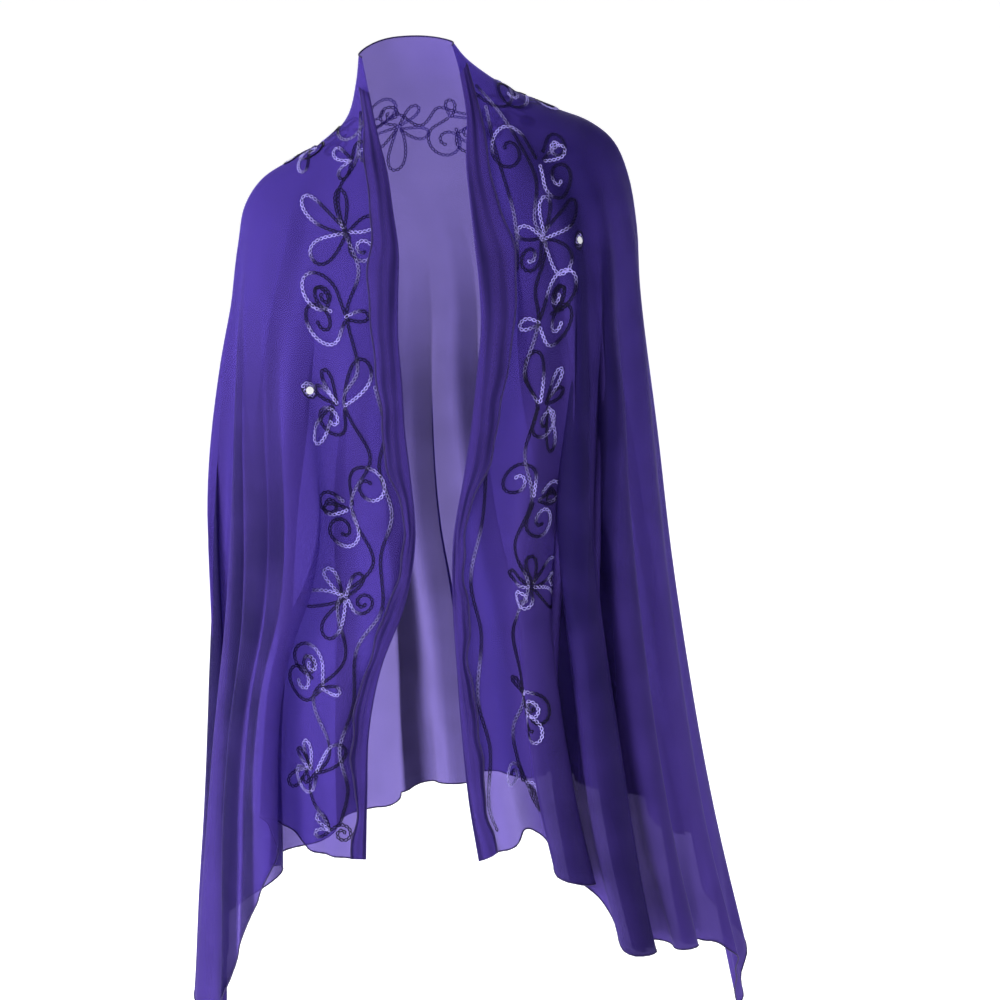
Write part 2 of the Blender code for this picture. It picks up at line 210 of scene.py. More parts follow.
# Creases: where each starts and ends, its half width and its height in mm (- is a trough), and how
# far the cloth laps over itself there in mm (+ with its lower-share side on top, - the other way).
creases = (
    # share0, fall0, share1, fall1, halfWidth, height, lap
    # right shoulder, pulled from the neck towards the arm
    (0.095, 0.11, 0.140, 0.42, 15, -2.6, 0),
    (0.128, 0.13, 0.172, 0.38, 16, 2.4, 0),
    (0.160, 0.12, 0.222, 0.40, 15, -2.2, 0),
    # right front panel
    (0.034, 0.30, 0.052, 0.66, 12, 2.2, 0),
    (0.058, 0.30, 0.048, 0.78, 13, -2.2, 0),
    (0.016, 0.50, 0.026, 0.98, 9, 2.6, 0),
    (0.034, 0.60, 0.030, 1.00, 9, -3.0, 0),
    (0.008, 0.66, 0.005, 1.00, 7, -2.4, 0),
    (0.069, 0.52, 0.060, 1.00, 12, 2.2, 0),
    (0.104, 0.28, 0.098, 1.00, 13, 3.0, 0),
    # the gathered side, right
    (0.126, 0.26, 0.118, 1.00, 10, 1.0, 15),
    (0.147, 0.26, 0.134, 1.00, 11, -2.0, 20),
    (0.174, 0.24, 0.152, 1.00, 12, 2.0, 22),
    (0.200, 0.30, 0.172, 1.00, 12, -2.5, 0),
    (0.228, 0.26, 0.196, 1.00, 12, 2.5, 20),
    (0.252, 0.42, 0.232, 1.00, 12, -2.5, 0),
    # back, long soft folds that fan out from the neck
    (0.330, 0.11, 0.262, 0.98, 12, 2.6, 13),
    (0.350, 0.12, 0.290, 0.90, 15, -2.6, 0),
    (0.372, 0.20, 0.318, 1.00, 12, 2.4, -14),
    (0.388, 0.14, 0.345, 0.86, 16, -2.2, 0),
    (0.405, 0.26, 0.372, 1.00, 13, 2.8, 17),
    (0.425, 0.16, 0.402, 0.92, 15, -2.4, 0),
    (0.442, 0.24, 0.427, 1.00, 12, 2.8, 8),
    (0.462, 0.30, 0.455, 0.94, 14, -2.8, 0),
    (0.486, 0.22, 0.482, 0.88, 14, 2.8, -9),
    (0.508, 0.28, 0.510, 1.00, 14, -2.6, 0),
    (0.528, 0.18, 0.538, 0.92, 13, 3.0, -9),
    (0.548, 0.26, 0.566, 1.00, 15, -2.8, 0),
    (0.566, 0.14, 0.594, 0.90, 13, 2.4, 17),
    (0.586, 0.24, 0.622, 1.00, 15, -2.6, 0),
    (0.606, 0.12, 0.650, 0.96, 12, 2.6, -15),
    (0.300, 0.15, 0.420, 0.29, 24, 3.0, 0),
    (0.420, 0.29, 0.560, 0.285, 26, 3.4, 0),
    (0.560, 0.285, 0.680, 0.15, 24, 3.0, 0),
    # the broad side, left
    (0.668, 0.20, 0.676, 1.00, 13, -2.8, 16),
    (0.700, 0.28, 0.706, 0.96, 14, 2.4, 0),
    (0.734, 0.34, 0.737, 1.00, 15, 2.6, 0),
    (0.770, 0.36, 0.772, 1.00, 16, -3.0, 0),
    (0.798, 0.32, 0.806, 1.00, 14, 3.2, 0),
    # left shoulder
    (0.798, 0.12, 0.765, 0.42, 16, -2.6, 0),
    (0.835, 0.12, 0.815, 0.38, 14, 2.4, 0),
    (0.868, 0.15, 0.842, 0.44, 13, -2.8, 0),
    # left front panel
    (0.840, 0.30, 0.852, 1.00, 12, 2.6, 0),
    (0.861, 0.21, 0.886, 1.00, 10, 1.0, -19),
    (0.880, 0.30, 0.906, 1.00, 11, 2.4, 0),
    (0.897, 0.19, 0.926, 1.00, 10, 1.0, -19),
    (0.914, 0.26, 0.944, 1.00, 10, 2.5, 0),
    (0.936, 0.42, 0.940, 0.96, 9, -2.4, 0),
    (0.944, 0.14, 0.958, 1.00, 10, -2.4, 0),
    (0.972, 0.28, 0.970, 0.70, 9, -2.2, 0),
    (0.984, 0.48, 0.986, 1.00, 8, -2.4, 0),
    (0.990, 0.16, 0.978, 0.40, 10, 2.4, 0),
)

creaseShape = {
    "steep": 0.5,  # steeper than this, a crease is measured across and not up and down
    "fallLength": 1.05,  # metres that a whole fall is taken as, for the creases that run across
    "rise": 0.28,  # the part of its length over which a crease comes up
    "end": 1.06,  # where it has died away
    "fade": 0.30,
    "lapRise": 0.4,  # the part over which a lap opens
    "lapLift": 0.26,  # how far the layers of a lap stand apart, as a share of the lap
    "under": (0.3, 0.4, 2.4, 0.8),  # painted shadow on cloth under a lap, in half widths: from, softness, to, softness
}

# Patches of painted shade at the sides of the cloth, which also stop more light there: from, to,
# softness, and how much at the top and at the foot.
sideShadePatches = ((0.090, 0.270, 0.050, 0.02, 0.12), (0.700, 0.958, 0.080, 1.05, -0.10),
               (0.850, 0.976, 0.030, 0.10, 0.40))

# Where layers lie close on each other low down, so that less shows through: the same columns.
stackedLayers = ((0.100, 0.280, 0.050, -0.3, 0.6), (0.700, 0.976, 0.040, -0.5, 1.1))

# The edge of so light a cloth flutters: waves round the hem as (waves, phase, mm out).
hemFlutter = ((31, 0.4, 2.2), (47, 2.1, 1.8), (71, 4.0, 1.1))
flutterStarts = 0.86

# How finely the cloth is cut into cells, closer where it is pleated.
clothCut = {
    "rows": 86,
    "columns": 548,
    "rowSamples": 2001,  # fine steps that the rows and columns are shared out over
    "columnSamples": 4001,
    "upperPart": 0.30,  # rows are closer together down to this fall
    "upperCloser": 0.9,
    "upperSoft": 0.1,
    "pleated": ((0.055, 0.260), (0.820, 0.975)),
    "closer": 1.0,
    "closerSoft": 0.02,
    "thickness": 0.0006,
    "flat": (0.88, 1.90),
}

# Painted shade on the cloth's colour: under laps, in troughs and in patches.
shading = {
    "underLap": 0.8,
    "valley": 0.042,  # a trough so many metres deep gets the painted shade in full
    "valleySpan": 45,  # columns over which the cloth's own level is taken
    "patchesFrom": 0.02,  # the fall where the patches of painted shade begin
    "patchesSoft": 0.15,
}


def creaseOffsets(share, fall, length):
    # how far each point goes out and along, and how much painted shadow it gets from lying under a
    # lap
    c = creaseShape
    out = np.zeros_like(share)
    along = np.zeros_like(share)
    under = np.zeros_like(share)
    near, nearSoft, far, farSoft = c["under"]
    for share0, fall0, share1, fall1, halfWidth, height, lap in creases:
        if abs(fall1 - fall0) > abs(share1 - share0) * c["steep"]:
            t = (fall - fall0) / (fall1 - fall0)
            centre = share0 + (share1 - share0) * eased(t)
            off = (share - centre) * length
        else:
            t = (share - share0) / (share1 - share0)
            off = (fall - (fall0 + (fall1 - fall0) * np.clip(t, 0, 1))) * c["fallLength"]
        ends = eased(t / c["rise"]) * eased((c["end"] - t) / c["fade"])
        u = off / (halfWidth / 1000)
        out += height / 1000 * np.exp(-u**2) * ends
        if lap:
            grown = eased(t / c["lapRise"])
            bend = u * np.exp((1 - u**2) / 2) * grown
            along -= abs(lap) / 1000 * bend
            out -= lap / 1000 * c["lapLift"] * bend
            # the painted shadow on the cloth that lies under this lap
            low = u * math.copysign(1, lap)
            under += eased((low - near) / nearSoft) * eased((far - low) / farSoft) * grown
    flutter = sum(
        mm / 1000 * np.sin(2 * np.pi * waves * share + phase) for waves, phase, mm in hemFlutter
    )
    return out + flutter * eased((fall - flutterStarts) / (1 - flutterStarts)), along, under


def spread(weight, count):
    # count places from 0 to 1, closer together where the weight is larger
    fine = np.linspace(0, 1, len(weight))
    run = np.concatenate([[0], np.cumsum((weight[1:] + weight[:-1]) / 2)])
    return np.interp(np.linspace(0, 1, count), run / run[-1], fine)


def clothColumns():
    fine = np.linspace(0, 1, clothCut["columnSamples"])
    weight = np.ones_like(fine)
    for low, high in clothCut["pleated"]:
        inside = eased((fine - low) / clothCut["closerSoft"])
        inside = inside * eased((high - fine) / clothCut["closerSoft"])
        weight += clothCut["closer"] * inside
    return spread(weight, clothCut["columns"])


def clothRows():
    fine = np.linspace(0, 1, clothCut["rowSamples"])
    upper = eased((clothCut["upperPart"] - fine) / clothCut["upperSoft"])
    weight = 1 + clothCut["upperCloser"] * upper
    return spread(weight, clothCut["rows"])


class Cloth:
    # the finished cloth as a fine grid, read anywhere by share of the way round and fall

    def __init__(self):
        self.falls = clothRows()
        self.shares = clothColumns()
        made = [ring(fall, self.shares) for fall in self.falls]
        self.points = np.stack([points for points, length in made])
        self.lengths = np.array([length for points, length in made])
        share, fall = np.meshgrid(self.shares, self.falls)
        out, along, under = creaseOffsets(share, fall, self.lengths[:, None])
        across = np.gradient(self.points, axis=1)
        across /= np.linalg.norm(across, axis=2)[:, :, None]
        self.points += gridNormals(self.points) * out[:, :, None] + across * along[:, :, None]
        self.normals = gridNormals(self.points)
        steps = np.linalg.norm(np.diff(self.points, axis=1), axis=2)
        self.arcs = np.concatenate([np.zeros((len(steps), 1)), np.cumsum(steps, axis=1)], axis=1)
        # painted shade on the cloth from its neighbours, from 0 to 1: darker in a valley, or under a
        # lap
        folded = np.stack([foldOffsets(self.shares, f)[0] for f in self.falls])
        window = np.ones(shading["valleySpan"]) / shading["valleySpan"]
        level = np.stack([np.convolve(row, window, "same") for row in folded])
        # painted shade in patches at the sides of the cloth
        side = self.patches(sideShadePatches, share, fall)
        valley = (folded - level) / shading["valley"]
        self.depth = np.clip(shading["underLap"] * under - valley + side, 0, 1)
        # more cover where layers stack and where the shade is painted, which darkens the cloth
        # further
        self.closed = np.clip(self.depth + self.patches(stackedLayers, share, fall), 0, 1)

    def patches(self, table, share, fall):
        amount = sum(
            (top + (foot - top) * fall) * eased((share - low) / soft) * eased((high - share) / soft)
            for low, high, soft, top, foot in table
        )
        return amount * eased((fall - shading["patchesFrom"]) / shading["patchesSoft"])

    def read(self, table, share, fall):
        share = np.clip(share, 0, 1)
        fall = np.clip(fall, 0, 1)
        row = np.interp(fall, self.falls, np.arange(len(self.falls)))
        column = np.interp(share, self.shares, np.arange(len(self.shares)))
        r = np.clip(row.astype(int), 0, len(self.falls) - 2)
        c = np.clip(column.astype(int), 0, len(self.shares) - 2)
        u = (row - r)[..., None]
        v = (column - c)[..., None]
        top = table[r, c] * (1 - v) + table[r, c + 1] * v
        low = table[r + 1, c] * (1 - v) + table[r + 1, c + 1] * v
        return top * (1 - u) + low * u

    def at(self, share, fall, lift=0.0):
        share = np.asarray(share, dtype=float)
        fall = np.asarray(fall, dtype=float)
        normal = self.read(self.normals, share, fall)
        normal /= np.linalg.norm(normal, axis=-1)[..., None]
        return self.read(self.points, share, fall) + normal * np.asarray(lift)[..., None], normal

    def across(self, share, fall, metres):
        # the share that is reached by going so far across, along the cloth's own surface
        share, fall, metres = np.broadcast_arrays(share, fall, metres)
        reached = np.empty(len(fall))
        for n in range(len(fall)):
            row = np.interp(fall[n], self.falls, np.arange(len(self.falls)))
            r = min(int(row), len(self.falls) - 2)
            arc = self.arcs[r] * (r + 1 - row) + self.arcs[r + 1] * (row - r)
            goal = np.interp(share[n], self.shares, arc) + metres[n]
            reached[n] = np.interp(goal, arc, self.shares)
        return reached

    def laid(self, share, fall, line, span=0.03):
        # a flat line in metres, laid on the cloth round this place: a row is (share, fall)
        below = self.read(self.points, np.array(share), np.array(fall + span))
        above = self.read(self.points, np.array(share), np.array(fall - span))
        falls = fall - line[:, 1] * 2 * span / np.linalg.norm(below - above)
        return np.stack([self.across(share, falls, line[:, 0]), falls], axis=1)


print("shaping the cloth")
cloth = Cloth()


def bentGrid(body, points, values=None, layer=None):
    # a flat grid of the same cells, with each corner moved to its place
    rows, columns = points.shape[:2]
    made = bmesh.ops.create_grid(
        body, x_segments=columns - 1, y_segments=rows - 1, size=1, calc_uvs=True)
    for corner in made["verts"]:
        c = round((corner.co.x + 1) / 2 * (columns - 1))
        r = round((1 - corner.co.y) / 2 * (rows - 1))
        corner.co = points[r, c]
        if layer is not None:
            corner[layer] = values[r]


def placeObject(name, body, material, smooth=True):
    mesh = bpy.data.meshes.new(name)
    body.to_mesh(mesh)
    body.free()
    mesh.materials.append(material)
    if smooth:
        mesh.shade_smooth()
    item = bpy.data.objects.new(name, mesh)
    scene.collection.objects.link(item)
    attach(item, "root")
    return item


def clothSheet(name, points, material, thickness, depth, closed):
    # the flat grid is bent by its own corner numbers, a whole table at a time
    rows, columns = points.shape[:2]
    body = bmesh.new()
    body.loops.layers.uv.new("cut")
    bmesh.ops.create_grid(
        body, x_segments=columns - 1, y_segments=rows - 1, size=1, calc_uvs=True)
    bmesh.ops.reverse_faces(body, faces=body.faces[:])
    item = placeObject(name, body, material)
    mesh = item.data
    flat = np.empty(len(mesh.vertices) * 3)
    mesh.vertices.foreach_get("co", flat)
    flat = flat.reshape(-1, 3)
    c = np.rint((flat[:, 0] + 1) / 2 * (columns - 1)).astype(int)
    r = np.rint((1 - flat[:, 1]) / 2 * (rows - 1)).astype(int)
    mesh.vertices.foreach_set("co", points[r, c].ravel())
    # the painted shade, and the cover that rises with it, carried at each point
    for key, table in (("paintedShade", depth), ("closed", closed)):
        layer = mesh.attributes.new(key, "FLOAT", "POINT")
        layer.data.foreach_set("value", table[r, c].astype(np.float32))
    mesh.update()
    wall = item.modifiers.new("thickness", "SOLIDIFY")
    wall.thickness = thickness
    wall.offset = 0
    return item


def tube(body, path, radius, sides, up, values=None, layer=None):
    # a round thread or hem along a path
    tangent = np.gradient(path, axis=0)
    tangent /= np.linalg.norm(tangent, axis=1)[:, None]
    side = np.cross(tangent, up)
    side /= np.linalg.norm(side, axis=1)[:, None]
    top = np.cross(side, tangent)
    turn = np.linspace(0, 2 * np.pi, sides + 1)
    radius = np.broadcast_to(radius, len(path))[:, None, None]
    circle = side[:, None] * np.cos(turn)[:, None] + top[:, None] * np.sin(turn)[:, None]
    bentGrid(body, path[:, None] + circle * radius, values, layer)


def closeTubes(body, join=1e-7, mostSides=12):
    bmesh.ops.remove_doubles(body, verts=body.verts[:], dist=join)
    bmesh.ops.holes_fill(body, edges=[e for e in body.edges if e.is_boundary], sides=mostSides)
    bmesh.ops.recalc_face_normals(body, faces=body.faces[:])


class Link:
    # a shader socket that can be reckoned with: link * 2 adds a Math node

    def __init__(self, finish, socket):
        self.finish = finish
        self.socket = socket

    def math(self, operation, first, second):
        return self.finish.node("ShaderNodeMath", {"operation": operation}, {0: first, 1: second})

    def __add__(self, other):
        return self.math("ADD", self, other)

    def __radd__(self, other):
        return self.math("ADD", other, self)

    def __sub__(self, other):
        return self.math("SUBTRACT", self, other)

    def __rsub__(self, other):
        return self.math("SUBTRACT", other, self)

    def __mul__(self, other):
        return self.math("MULTIPLY", self, other)

    def __rmul__(self, other):
        return self.math("MULTIPLY", other, self)


class Nodes:
    # a tree of shader nodes: node() adds any node with its settings and its sockets' values

    def __init__(self, tree):
        self.tree = tree

    def node(self, kind, settings=None, values=None, output=0):
        made = self.tree.nodes.new(kind)
        for key, value in (settings or {}).items():
            setattr(made, key, value)
        for key, value in (values or {}).items():
            self.feed(made.inputs[key], value)
        return Link(self, made.outputs[output])

    def feed(self, socket, value):
        if isinstance(value, Link):
            self.tree.links.new(value.socket, socket)
        else:
            socket.default_value = value

    def mix(self, factor, first, second):
        return self.node("ShaderNodeMix", {"data_type": "RGBA"}, {0: factor, 6: first, 7: second}, 2)


class Finish(Nodes):
    # a material: its plain sockets are given by name, and set() feeds one that varies

    def __init__(self, name, colour, plain):
        self.material = bpy.data.materials.new(name)
        self.material.use_nodes = True
        self.material.diffuse_color = (*colour, 1)
        super().__init__(self.material.node_tree)
        self.principled = self.tree.nodes["Principled BSDF"]
        self.set("Base Color", (*colour, 1))
        for socket, value in plain.items():
            self.set(socket, value)

    def set(self, socket, value):
        self.feed(self.principled.inputs[socket], value)

    def cloth(self):
        return Link(self, self.principled.outputs["BSDF"])

    def close(self, surface):
        self.feed(self.tree.nodes["Material Output"].inputs["Surface"], surface)


def noise(finish, scale, detail):
    where = finish.node("ShaderNodeTexCoord", output="Object")
    return finish.node("ShaderNodeTexNoise", {}, {"Vector": where, "Scale": scale, "Detail": detail})


def bump(finish, height, strength, distance):
    finish.set("Normal", finish.node(
        "ShaderNodeBump", {}, {"Strength": strength, "Distance": distance, "Height": height}))


def painted(finish, key):
    # a number that the piece carries at each of its points
    return finish.node("ShaderNodeAttribute", {"attribute_name": key}, output="Fac")


chiffon = {
    "open": (0.064, 0.036, 0.242),  # colour of one layer
    "deep": (0.010, 0.005, 0.058),  # the painted shade colour, where other folds shade it
    "clear": (0.65, 0.58, 0.95, 1),  # what the light that goes between the threads looks like
    "cover": 0.40,  # share of the light that one face of the cloth stops
    "layersAndShadeCover": 0.41,  # how much more it stops where layers stack and where the shade is painted
    "crepe": 0.06,  # how uneven the cover is from thread to thread
    "crepeScale": 1500,
    "crepeBump": (0.015, 0.0003),
    "cloud": 0.08,  # how uneven it is from place to place
    "cloudScale": 22,
    "cloudShade": 0.4,
    "doubledCover": 0.18,  # how much more the turned-back band stops, and its shade
    "doubledShade": 0.9,
    "plain": {
        "Roughness": 0.66,
        "Specular IOR Level": 0.06,
        "Sheen Weight": 0.02,
        "Sheen Roughness": 0.5,
        "Sheen Tint": (0.55, 0.42, 1, 1),
    },
}


def chiffonFinish(name, cover, gain):
    c = chiffon
    finish = Finish(name, c["open"], c["plain"])
    grain = noise(finish, c["crepeScale"], 0.0)
    cloud = noise(finish, c["cloudScale"], 1.0)
    light = tuple(part * gain for part in c["open"]) + (1,)
    deep = tuple(part * gain for part in c["deep"]) + (1,)
    # the base colour darkens from open towards deep by the painted shade, with some random cloud in
    # it
    shaded = painted(finish, "paintedShade") + (cloud - 0.5) * c["cloudShade"]
    finish.set("Base Color", finish.mix(shaded, light, deep))
    bump(finish, grain, *c["crepeBump"])
    between = finish.node("ShaderNodeBsdfTransparent", {}, {"Color": c["clear"]})
    uneven = (grain - 0.5) * c["crepe"] + (cloud - 0.5) * c["cloud"]
    # the cover rises with the stacked layers and with the painted shade
    share = uneven + painted(finish, "closed") * c["layersAndShadeCover"] + cover
    finish.close(finish.node("ShaderNodeMixShader", {}, {0: share, 1: between, 2: finish.cloth()}))
    return finish.material


threads = {
    "dark": (0.004, 0.002, 0.018, 1),
    "light": (0.36, 0.31, 0.76, 1),
    "fleckScale": 460,
    "fleckMiddle": 0.52,
    "fleckOnDark": 0.10,  # how much the flecks tell on dark thread, and how much more on light
    "fleckOnLight": 2.4,
    "smoothest": 0.36,
    "rougher": 0.2,
    "bump": (0.5, 0.0002),
}


def threadFinish():
    c = threads
    finish = Finish("embroideryThread", c["dark"][:3], {"Specular IOR Level": 0.12})
    shade = painted(finish, "shade")
    fleck = noise(finish, c["fleckScale"], 1.0)
    flecked = (fleck - c["fleckMiddle"]) * (shade * c["fleckOnLight"] + c["fleckOnDark"])
    finish.set("Base Color", finish.mix(shade + flecked, c["dark"], c["light"]))
    finish.set("Roughness", c["smoothest"] + fleck * c["rougher"])
    bump(finish, fleck, *c["bump"])
    return finish.material


hemLook = {
    "colour": (0.014, 0.007, 0.060),
    "dark": (0.008, 0.004, 0.038, 1),
    "light": (0.028, 0.014, 0.105, 1),
    "plain": {"Roughness": 0.6, "Specular IOR Level": 0.25},
    "stitchScale": 520,
    "bump": (0.6, 0.0003),
}


def hemFinish():
    finish = Finish("rolledHem", hemLook["colour"], hemLook["plain"])
    stitches = noise(finish, hemLook["stitchScale"], 1.0)
    finish.set("Base Color", finish.mix(stitches, hemLook["dark"], hemLook["light"]))
    bump(finish, stitches, *hemLook["bump"])
    return finish.material


mirrorLook = {
    "silver": (0.86, 0.86, 0.90),
    "wearScale": 300,
    "smoothest": 0.06,
    "rougher": 0.22,
}


def mirrorFinish():
    finish = Finish("littleMirror", mirrorLook["silver"], {"Metallic": 1.0})
    wear = noise(finish, mirrorLook["wearScale"], 3.0)
    finish.set("Roughness", mirrorLook["smoothest"] + wear * mirrorLook["rougher"])
    return finish.material


sheer = chiffonFinish("sheerChiffon", chiffon["cover"], 1.0)
doubled = chiffonFinish(
    "doubledChiffon", chiffon["cover"] + chiffon["doubledCover"], chiffon["doubledShade"])
thread = threadFinish()
hemCloth = hemFinish()
mirror = mirrorFinish()


print("cutting the cloth")
wrapCloth = clothSheet(
    "wrapCloth", cloth.points, sheer, clothCut["thickness"], cloth.depth, cloth.closed)
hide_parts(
    "neck_stretch", "right_front_stretch", "right_tail_stretch",
    "back_stretch", "left_tail_stretch", "left_front_stretch",
)


turnedEdge = {
    "falls": (0.030, 0.100, 0.230, 0.385, 0.520, 0.720, 1.000),
    "right": (0.010, 0.022, 0.027, 0.022, 0.012, 0.017, 0.012),  # how wide the band is at those falls
    "left": (0.012, 0.024, 0.038, 0.026, 0.012, 0.014, 0.020),
    "top": 0.030,
    "rows": 150,
    "rollColumns": 7,
    "flatColumns": 9,
    "roll": 0.0013,  # radius of the soft fold at the edge
    "stand": 0.0012,  # how far the band stands off in its middle
    "lift": 0.0006,  # how far the free edge lies off the cloth
    "flare": 0.0010,  # how much more or less in each of its waves
    "flares": 11,
    # how its free edge wanders: waves, phase, metres
    "waves": ((5, 0.7, 0.0022), (9, 2.2, 0.0016), (17, 4.4, 0.0008)),
    "inside": 0.004,  # how far in, as a share, the cloth's own direction is read
    # how strong the band's streaks of painted shade are
    "shadeStreaks": 0.35,
    "flat": {"right": (0.026, 0.84), "left": (0.028, 0.86)},
}


def bandShadeStreaks(part, fall):
    # uneven slanting streaks of painted shade on the band, where its layers also lie closer on each
    # other and stop more light
    broad = np.sin(9 * part + 7 * fall + 2 * np.sin(11 * fall))
    fine = np.sin(23 * part - 15 * fall)
    depth = turnedEdge["shadeStreaks"]
    return np.clip(depth + depth * broad + depth * fine, 0, 1)


def turnedBand(side):
    # out round the fold from the cloth's edge, then back over the front of the cloth
    t = turnedEdge
    falls = np.linspace(t["top"], 1.0, t["rows"])
    width = through(np.array(t["falls"]), np.array(t[side]), falls)
    width += sum(size * np.sin(2 * np.pi * n * falls + phase) for n, phase, size in t["waves"])
    near, sign = (0.0, 1.0) if side == "right" else (1.0, -1.0)
    edge, normal = cloth.at(np.full(len(falls), near), falls)
    inside = cloth.at(np.full(len(falls), near + sign * t["inside"]), falls)[0] - edge
    inside /= np.linalg.norm(inside, axis=1)[:, None]
    columns = []
    for turn in np.linspace(0, np.pi, t["rollColumns"]):
        out = -inside * np.sin(turn) + normal * (1 - np.cos(turn))
        columns.append(edge + out * t["roll"])
    for part in np.linspace(0, 1, t["flatColumns"] + 1)[1:]:
        flare = t["lift"] + t["flare"] * np.sin(2 * np.pi * t["flares"] * falls + 0.9) * part
        lift = 2 * t["roll"] + t["stand"] * math.sin(math.pi * part) + flare * part
        columns.append(cloth.at(cloth.across(near, falls, sign * width * part), falls, lift)[0])
    shadeStreaks = bandShadeStreaks(*np.meshgrid(np.linspace(0, 1, len(columns)), falls))
    if side == "left":
        columns.reverse()
        shadeStreaks = shadeStreaks[:, ::-1]
    return np.stack(columns, axis=1), shadeStreaks


freeEdges = {}
for side in ("right", "left"):
    points, shadeStreaks = turnedBand(side)
    # the streaks are the band's painted shade and its extra cover
    clothSheet(
        side + "TurnedEdge", points, doubled, clothCut["thickness"], shadeStreaks, shadeStreaks)
    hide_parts(side + "_turned_edge")
    freeEdges[side] = points[:, -1 if side == "right" else 0]


# The rolled hem runs along the foot, the neck and the free edges of the bands.
rolledHem = {"radius": 0.00085, "sides": 6, "pinch": 0.00012, "pinches": 260}


def hemTube(body, path, up):
    r = rolledHem
    run = np.linspace(0, 2 * np.pi * r["pinches"], len(path))
    tube(body, path, r["radius"] + r["pinch"] * np.sin(run), r["sides"], up)


def rolledHemPiece():
    body = bmesh.new()
    hemTube(body, cloth.points[-1], cloth.normals[-1])
    hemTube(body, cloth.points[0], cloth.normals[0])
    for side, column in (("right", 0), ("left", -1)):
        free = freeEdges[side]
        hemTube(body, free, np.broadcast_to(cloth.normals[:, column].mean(axis=0), free.shape))
    closeTubes(body)
    item = placeObject("rolledHem", body, hemCloth)
    return item


print("rolling the hem")
hem = rolledHemPiece()


# Chain stitch: two strands that part and meet once in every link.
chain = {
    "link": 0.0046,
    "halfWidth": 0.00125,
    "strand": 0.00058,
    "sides": 4,
    "lift": 0.0008,
    "rise": 0.0005,
    "pointsPerLink": 4,
    "dye": 0.135,  # length after which the variegated thread's colours come round again
    "dyeSharpness": 1.4,  # how quickly it goes from dark to light, and how much stays dark
    "dyeDark": 0.15,
    "closest": 0.0002,  # from the middle to a strand, where the strands meet
    "meets": 0.12,  # shifts the places where they meet
    "stemLight": 0.4,  # the stems are darker than the groups
    "stemStep": 1.7,  # how much later in the dye each next stem, line or ring begins
    "lineStep": 2.4,
    "ringStep": 1.9,
}

loops = {
    "petalPoints": 40,
    "petalFullness": 0.62,  # with this a drop comes out nearly as wide as the table says
    "petalRoot": 0.25,  # how wide a petal is at its root, against its tip
    "curlTurns": 1.38,
    "curlPoints": 60,
    "curlWinds": 0.82,  # how far in it winds, as a share of its radius
    "curlTightens": 1.15,
    "leadPart": 0.45,  # the straight start of a curl, as a share of its size
    "leadPoints": 8,
}

mirrorSize = {
    "radius": 0.0040,
    "height": 0.0007,
    "lift": 0.0009,  # its back lies just off the cloth
    "corners": 20,
    "rings": (0.0050, 0.0072),  # radii of the stitched rings that hold it
    "ringPoints": 30,
}


def smoothRoute(points, perSpan=16):
    # a smooth line through the listed points
    points = np.array(points, dtype=float)
    knots = np.arange(len(points), dtype=float)
    at = np.linspace(0, len(points) - 1, (len(points) - 1) * perSpan + 1)
    return np.stack([through(knots, points[:, n], at) for n in range(points.shape[1])], axis=1)


def petal(length, width):
    # a drop-shaped loop, out from the stem and back to it
    t = np.linspace(0, 1, loops["petalPoints"])
    x = length * (1 - np.cos(2 * np.pi * t)) / 2
    narrow = loops["petalRoot"] + (1 - loops["petalRoot"]) * x / length
    y = width * loops["petalFullness"] * np.sin(2 * np.pi * t) * narrow
    return np.stack([x, y], axis=1)


def curl(size, way):
    # a line that runs out a little, then round and in to a small eye
    c = loops
    reach = size / 2
    run = c["leadPart"] * size
    turn = np.linspace(0, 2 * np.pi * c["curlTurns"], c["curlPoints"])
    radius = reach * (1 - c["curlWinds"] * (turn / turn[-1]) ** c["curlTightens"])
    lead = np.linspace(0, run, c["leadPoints"])[:-1]
    lead = np.stack([lead, np.zeros(len(lead))], axis=1)
    eye = np.stack([run + radius * np.sin(turn), reach - radius * np.cos(turn)], axis=1)
    return np.concatenate([lead, eye]) * (1, way)


def turned(points, degrees, origin=(0.0, 0.0)):
    a = math.radians(degrees)
    spin = np.array(((math.cos(a), math.sin(a)), (-math.sin(a), math.cos(a))))
    return points @ spin + np.array(origin)


# What each kind of group is made of, in mm: (piece, length or size, width or way round, angle,
# where it starts). 0 degrees points away from the edge and 90 points up.
sprays = {
    "petals": (
        ("petal", 56, 22, 8, (0, 0)),
        ("petal", 46, 24, -52, (4, -2)),
        ("petal", 34, 15, 74, (6, 3)),
        ("curl", 26, -1, -104, (0, -2)),
        ("petal", 30, 14, 142, (0, 2)),
    ),
    "leaves": (
        ("petal", 56, 24, 118, (0, 2)),
        ("curl", 34, 1, -92, (0, -2)),
        ("petal", 50, 14, -62, (14, -4)),
        ("petal", 26, 12, 18, (8, 0)),
        ("petal", 30, 13, 64, (10, 2)),
    ),
    "curls": (
        ("curl", 45, -1, 62, (0, 3)),
        ("curl", 42, 1, -70, (0, -3)),
        ("curl", 22, 1, 2, (14, 0)),
        ("petal", 24, 11, 158, (0, 0)),
    ),
    "scrolls": (
        ("curl", 42, 1, 84, (0, 2)),
        ("curl", 38, 1, -112, (0, -4)),
        ("curl", 24, -1, 28, (10, 2)),
        ("petal", 26, 12, -14, (6, -4)),
    ),
    "bud": (
        ("curl", 26, 1, 76, (0, 0)),
        ("petal", 26, 13, -20, (0, 0)),
        ("petal", 22, 11, -84, (0, -2)),
    ),
}

